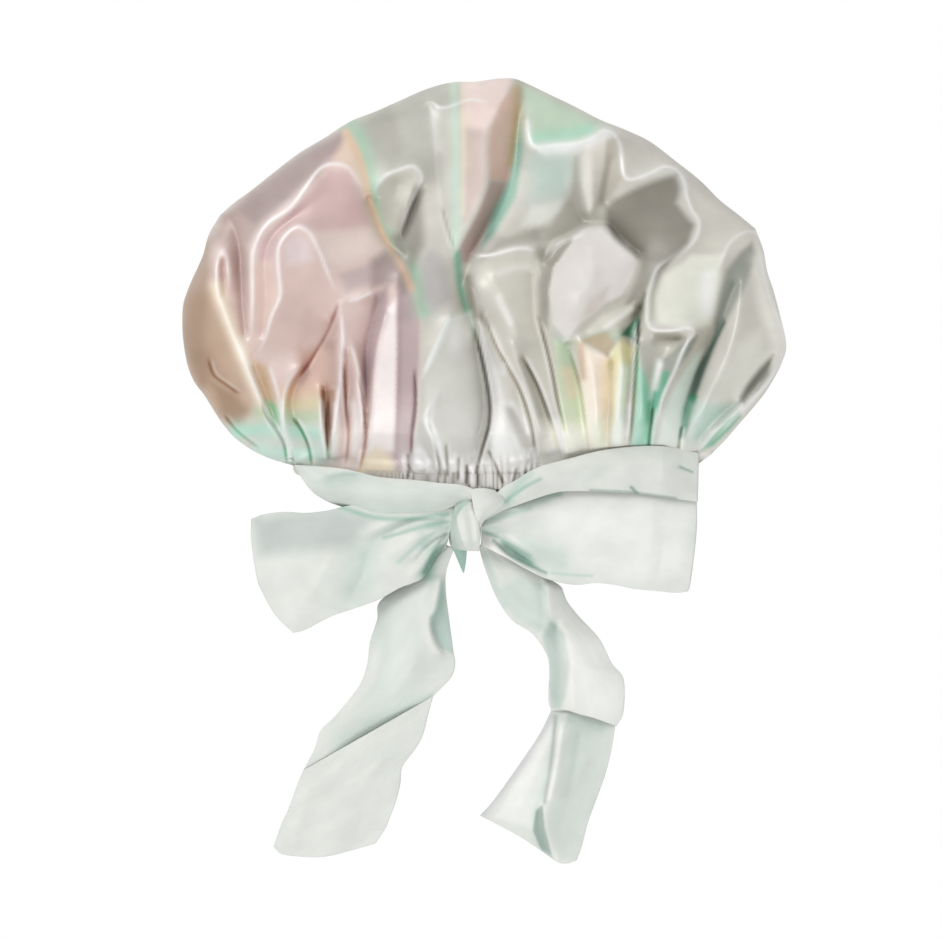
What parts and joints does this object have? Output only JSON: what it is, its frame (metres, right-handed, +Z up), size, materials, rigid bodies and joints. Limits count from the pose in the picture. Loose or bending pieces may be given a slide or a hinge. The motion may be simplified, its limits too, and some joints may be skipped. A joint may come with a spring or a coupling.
{
  "type": "satin hair bonnet",
  "caption": "Gathered satin sleep bonnet lying flat, with an elastic casing at its mouth and a wide ribbon sash tied in a bow in front.",
  "frame": {"origin": "on the table under the middle of the mouth's front lip, on the underside of the sash behind the mouth", "axes": "+Z up from the table, +Y from the mouth to the far edge of the crown, +X across the mouth to the right of the bow"},
  "size_m": [0.332, 0.4314, 0.0618],
  "materials": {
    "satin": "glossy satin with a soft pastel gradient",
    "lining": "plain satin",
    "elastic": "woven flat elastic",
    "ribbon": "matte crepe"
  },
  "bodies": {
    "bonnet": {"crown_outer": "satin", "crown_lining": "lining", "mouth_casing": "satin", "mouth_elastic": "elastic", "sash_back": "ribbon", "sash_left": "ribbon", "sash_right": "ribbon", "knot_core": "ribbon", "knot_wrap": "ribbon"},
    "loop_left": {"bow_loop_left": "ribbon"},
    "loop_right": {"bow_loop_right": "ribbon"},
    "tail_left": {"tail_left_upper": "ribbon"},
    "tail_left_tip": {"tail_left_end": "ribbon"},
    "tail_right": {"tail_right_upper": "ribbon"},
    "tail_right_tip": {"tail_right_end": "ribbon"}
  },
  "joints": [
    {"name": "loop_left_lift", "type": "hinge", "parent": "bonnet", "child": "loop_left", "pos_m": [-0.02635, -0.028, 0.0178], "axis": [0, 1, 0], "range_deg": [0, 75]},
    {"name": "loop_right_lift", "type": "hinge", "parent": "bonnet", "child": "loop_right", "pos_m": [-0.00565, -0.024, 0.0178], "axis": [0, -1, 0], "range_deg": [0, 75]},
    {"name": "tail_left_swing", "type": "hinge", "parent": "bonnet", "child": "tail_left", "pos_m": [-0.0205, -0.024, 0.0057], "axis": [0, 0, 1], "range_deg": [-22, 12]},
    {"name": "tail_right_swing", "type": "hinge", "parent": "bonnet", "child": "tail_right", "pos_m": [-0.0115, -0.024, 0.0057], "axis": [0, 0, 1], "range_deg": [-12, 22]},
    {"name": "tail_left_fold", "type": "hinge", "parent": "tail_left", "child": "tail_left_tip", "pos_m": [-0.0704, -0.13497, 0.0008], "axis": [-0.859, -0.512, 0], "range_deg": [0, 100]},
    {"name": "tail_right_fold", "type": "hinge", "parent": "tail_right", "child": "tail_right_tip", "pos_m": [0.04846, -0.1257, 0.0008], "axis": [-0.9816, 0.1908, 0], "range_deg": [0, 100]}
  ]
}
